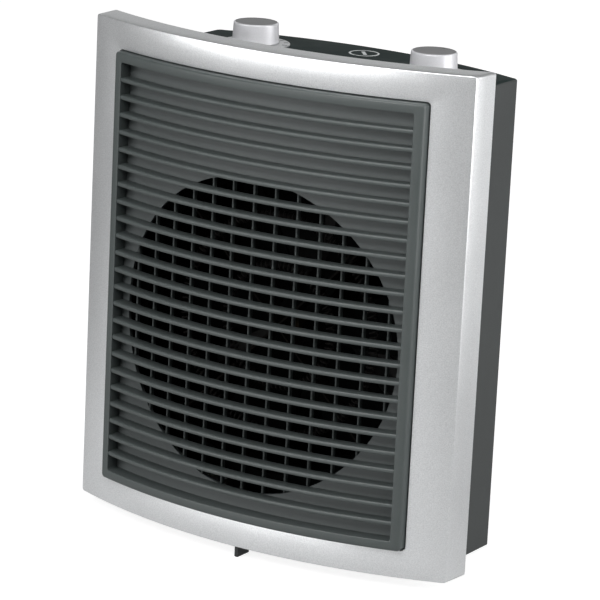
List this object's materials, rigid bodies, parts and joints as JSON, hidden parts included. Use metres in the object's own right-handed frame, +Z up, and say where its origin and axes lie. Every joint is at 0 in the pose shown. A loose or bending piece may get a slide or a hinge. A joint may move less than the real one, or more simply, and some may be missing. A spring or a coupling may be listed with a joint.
{
  "type": "fan convector heater",
  "caption": "Upright portable fan heater: bowed silver bezel round a slatted charcoal grille, dark box behind with a bowed back, and two turning knobs on its top.",
  "frame": {"origin": "on the floor, at the centre of the object's footprint", "axes": "+Z up, +X to the viewer's right when facing the grille, -Y out of the grille towards the viewer"},
  "size_m": [0.2478, 0.136, 0.2872],
  "materials": {
    "silver_paint": "metallic silver paint with a fine grain",
    "knob_silver": "silver-plated plastic, satin to bright",
    "charcoal_plastic": "semi-gloss charcoal moulding",
    "black_plastic": "black moulding",
    "zinc_steel": "zinc-plated steel",
    "brass": "bright",
    "mica_board": "matt board",
    "resistance_wire": "oxidised wire",
    "foot_rubber": "matt",
    "white_nylon": "matt"
  },
  "bodies": {
    "heater_body": {"front_bezel": "silver_paint", "thermostat_dial": "silver_paint", "selector_dial": "silver_paint", "front_grille": "charcoal_plastic", "baffle_panel": "charcoal_plastic", "rear_housing": "charcoal_plastic", "air_duct": "black_plastic", "selector_body": "black_plastic", "tip_switch_body": "black_plastic", "cord_gland": "black_plastic", "thermostat_body": "black_plastic", "intake_filter": "black_plastic", "housing_screw_1": "zinc_steel", "housing_screw_2": "zinc_steel", "housing_screw_3": "zinc_steel", "housing_screw_4": "zinc_steel", "bracket_screw_1": "zinc_steel", "bracket_screw_2": "zinc_steel", "bracket_screw_3": "zinc_steel", "clamp_screw_1": "zinc_steel", "clamp_screw_2": "zinc_steel", "motor_body": "zinc_steel", "motor_bracket": "zinc_steel", "thermostat_nut": "brass", "selector_nut": "brass", "motor_bearing_front": "brass", "motor_bearing_rear": "brass", "thermal_cutout": "brass", "element_support": "mica_board", "heating_coil_inner": "resistance_wire", "heating_coil_outer": "resistance_wire", "foot_front_left": "foot_rubber", "foot_front_right": "foot_rubber", "foot_rear_left": "foot_rubber", "foot_rear_right": "foot_rubber", "terminal_block": "white_nylon", "cord_clamp": "white_nylon"},
    "thermostat_control": {"thermostat_knob": "knob_silver", "thermostat_spindle": "zinc_steel"},
    "selector_control": {"selector_knob": "knob_silver", "selector_spindle": "zinc_steel"},
    "fan_rotor": {"fan_impeller": "black_plastic", "motor_shaft": "zinc_steel", "impeller_nut": "brass"},
    "tip_paddle": {"tip_switch_paddle": "black_plastic"}
  },
  "joints": [
    {"name": "thermostat_turn", "type": "hinge", "parent": "heater_body", "child": "thermostat_control", "pos_m": [-0.0586, 0.0259, 0.2719], "axis": [0, 0, -1], "range_deg": [0, 270]},
    {"name": "selector_turn", "type": "hinge", "parent": "heater_body", "child": "selector_control", "pos_m": [0.0586, 0.0259, 0.2719], "axis": [0, 0, -1], "range_deg": [0, 135]},
    {"name": "fan_spin", "type": "hinge", "parent": "heater_body", "child": "fan_rotor", "pos_m": [0, 0.0036, 0.1272], "axis": [0, 1, 0], "continuous": true},
    {"name": "tip_paddle_slide", "type": "slide", "parent": "heater_body", "child": "tip_paddle", "axis": [0, 0, 1], "range_m": [-0.004, 0], "stiffness_N_per_m": 20, "springref_m": -0.004}
  ]
}
